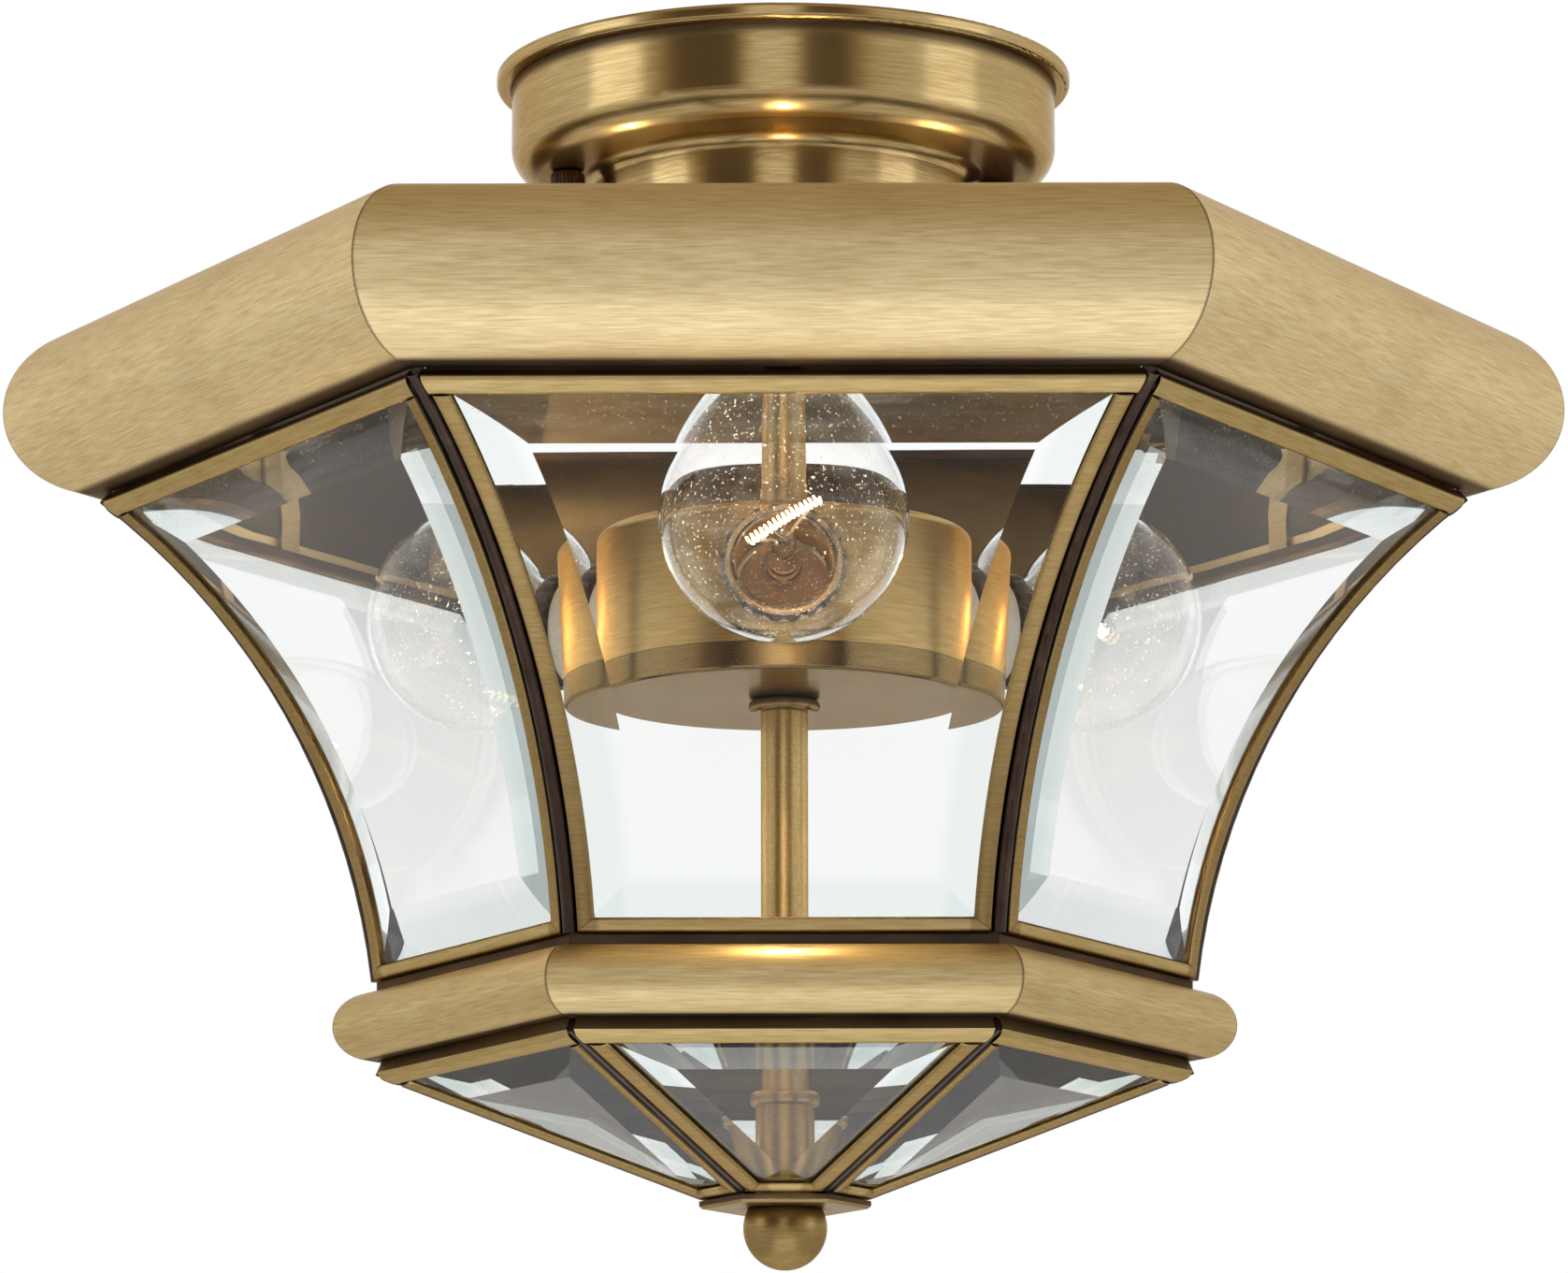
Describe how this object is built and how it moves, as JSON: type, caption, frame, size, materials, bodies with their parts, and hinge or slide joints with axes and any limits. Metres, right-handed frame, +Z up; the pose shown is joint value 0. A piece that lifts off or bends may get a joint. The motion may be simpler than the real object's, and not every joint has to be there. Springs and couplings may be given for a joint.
{
  "type": "flush mount ceiling light",
  "caption": "Lantern-style flush mount ceiling light: brass canopy and rod, clear bulbs on a drum, and a hexagonal cage of bent bevelled glass with a glass pyramid below.",
  "frame": {"origin": "on the ceiling, in the middle of the canopy and of the mounting bar's screw holes", "axes": "+Z up into the ceiling, +X to the right along two of the lantern's corners, -Y out of the side that faces the viewer"},
  "size_m": [0.387, 0.3352, 0.2981],
  "materials": {
    "brushed_brass": "brushed antique brass with brown patina in the seams",
    "dark_brass": "dark brown patina",
    "polished_brass": "polished",
    "steel": "zinc plated",
    "ground_green": "green lacquer",
    "socket_ceramic": "unglazed porcelain",
    "dark_ring": "dark moulded resin",
    "base_nickel": "rolled screw shell",
    "pane_glass": "clear, polished bevels",
    "bulb_glass": "clear",
    "filament": "glowing wire on a glass stem"
  },
  "bodies": {
    "fixture": {"canopy": "brushed_brass", "mounting_bar": "steel", "canopy_studs": "steel", "ground_screw": "ground_green", "centre_rod": "brushed_brass", "rod_nut": "steel", "lamp_can": "brushed_brass", "can_cap": "polished_brass", "rod_collar": "polished_brass", "socket_rings": "dark_ring", "lamp_socket_front": "socket_ceramic", "lamp_socket_back_right": "socket_ceramic", "lamp_socket_back_left": "socket_ceramic"},
    "lantern": {"crown_front": "brushed_brass", "crown_front_right": "brushed_brass", "crown_back_right": "brushed_brass", "crown_back": "brushed_brass", "crown_back_left": "brushed_brass", "crown_front_left": "brushed_brass", "upper_frame_front": "brushed_brass", "upper_frame_front_right": "brushed_brass", "upper_frame_back_right": "brushed_brass", "upper_frame_back": "brushed_brass", "upper_frame_back_left": "brushed_brass", "upper_frame_front_left": "brushed_brass", "upper_pane_front": "pane_glass", "upper_pane_front_right": "pane_glass", "upper_pane_back_right": "pane_glass", "upper_pane_back": "pane_glass", "upper_pane_back_left": "pane_glass", "upper_pane_front_left": "pane_glass", "lower_frame_front": "brushed_brass", "lower_frame_front_right": "brushed_brass", "lower_frame_back_right": "brushed_brass", "lower_frame_back": "brushed_brass", "lower_frame_back_left": "brushed_brass", "lower_frame_front_left": "brushed_brass", "lower_pane_front": "pane_glass", "lower_pane_front_right": "pane_glass", "lower_pane_back_right": "pane_glass", "lower_pane_back": "pane_glass", "lower_pane_back_left": "pane_glass", "lower_pane_front_left": "pane_glass", "crown_braces": "dark_brass", "corner_ribs": "dark_brass", "waist_moulding": "brushed_brass", "bottom_cap": "brushed_brass", "guide_sleeve": "brushed_brass"},
    "finial": {"finial": "brushed_brass"},
    "canopy_nut_left": {"canopy_nut_left": "dark_brass"},
    "canopy_nut_right": {"canopy_nut_right": "dark_brass"},
    "bulb_front": {"bulb_glass_front": "bulb_glass", "bulb_base_front": "base_nickel", "bulb_filament_front": "filament"},
    "bulb_back_right": {"bulb_glass_back_right": "bulb_glass", "bulb_base_back_right": "base_nickel", "bulb_filament_back_right": "filament"},
    "bulb_back_left": {"bulb_glass_back_left": "bulb_glass", "bulb_base_back_left": "base_nickel", "bulb_filament_back_left": "filament"}
  },
  "joints": [
    {"name": "lantern_lower", "type": "slide", "parent": "fixture", "child": "lantern", "axis": [0, 0, -1], "range_m": [0, 0.23]},
    {"name": "finial_turn", "type": "hinge", "parent": "lantern", "child": "finial", "pos_m": [0, 0, -0.2878], "axis": [0, 0, -1], "range_deg": [0, 1800]},
    {"name": "bulb_front_turn", "type": "hinge", "parent": "fixture", "child": "bulb_front", "pos_m": [0, 0, -0.1389], "axis": [0, -0.9925, 0.1219], "range_deg": [0, 1620]},
    {"name": "bulb_back_right_turn", "type": "hinge", "parent": "fixture", "child": "bulb_back_right", "pos_m": [0, 0, -0.1389], "axis": [0.8596, 0.4963, 0.1219], "range_deg": [0, 1620]},
    {"name": "bulb_back_left_turn", "type": "hinge", "parent": "fixture", "child": "bulb_back_left", "pos_m": [0, 0, -0.1389], "axis": [-0.8596, 0.4963, 0.1219], "range_deg": [0, 1620]},
    {"name": "canopy_nut_right_turn", "type": "hinge", "parent": "fixture", "child": "canopy_nut_right", "pos_m": [0.05347, 0.00752, -0.0303], "axis": [0, 0, -1], "range_deg": [0, 1800]},
    {"name": "canopy_nut_left_turn", "type": "hinge", "parent": "fixture", "child": "canopy_nut_left", "pos_m": [-0.05347, -0.00752, -0.0303], "axis": [0, 0, -1], "range_deg": [0, 1800]}
  ]
}
